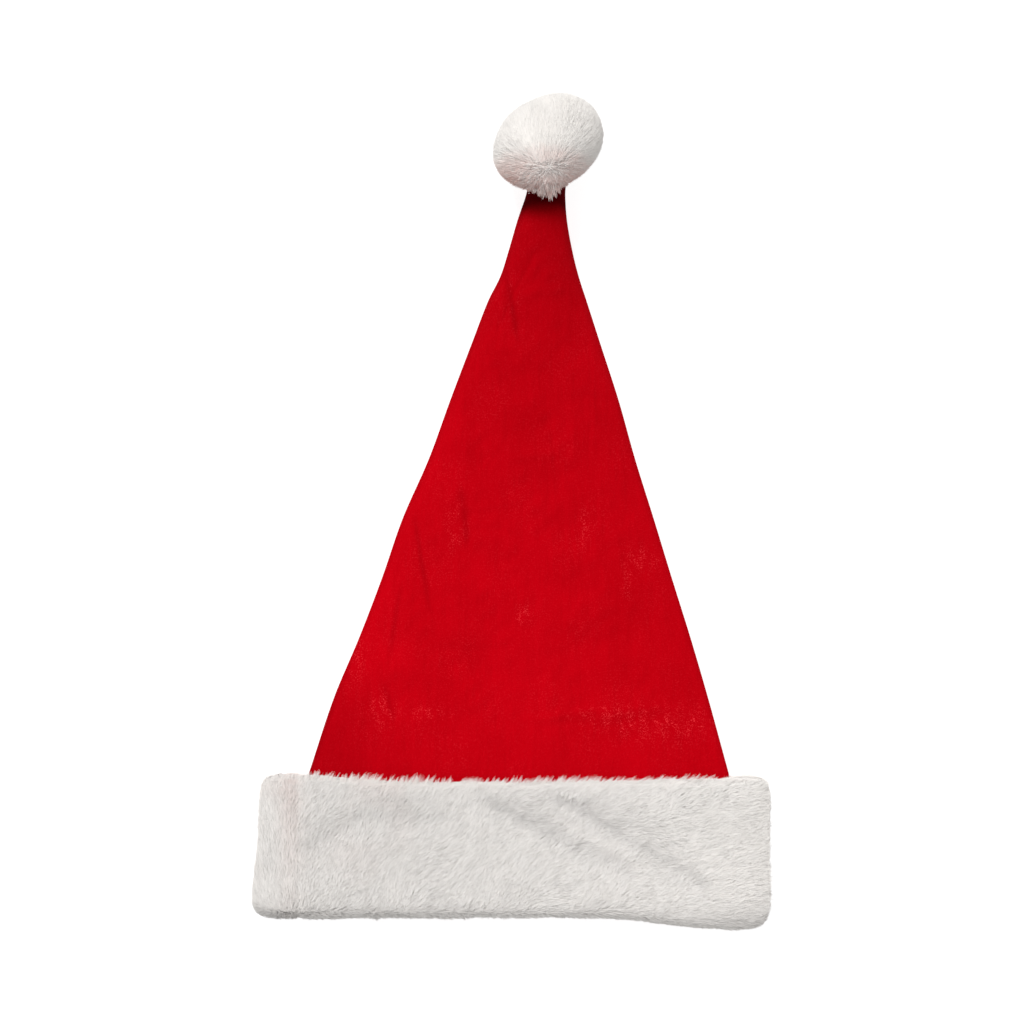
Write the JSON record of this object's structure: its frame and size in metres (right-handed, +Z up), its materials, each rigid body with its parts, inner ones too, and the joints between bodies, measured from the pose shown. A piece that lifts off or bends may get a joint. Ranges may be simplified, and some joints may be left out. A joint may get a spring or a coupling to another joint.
{
  "type": "santa hat",
  "caption": "Adult cone hat of red velour lying flat, with a deep white plush cuff, an open hollow crown and a fur pompom at its tip.",
  "frame": {"origin": "on the surface that the hat lies on, below the middle of the cuff, in the cuff's pressed flat underside", "axes": "+Y from the cuff to the tip along the hat's length, +X to the right seen from above, +Z up"},
  "size_m": [0.2966, 0.48, 0.0581],
  "materials": {
    "velour": "soft short pile, matt with a faint sheen",
    "plush": "thick white pile, matt",
    "fur": "long off-white pile, matt"
  },
  "bodies": {
    "root": {"crown": "velour", "band": "plush", "pompom": "fur"}
  },
  "joints": []
}
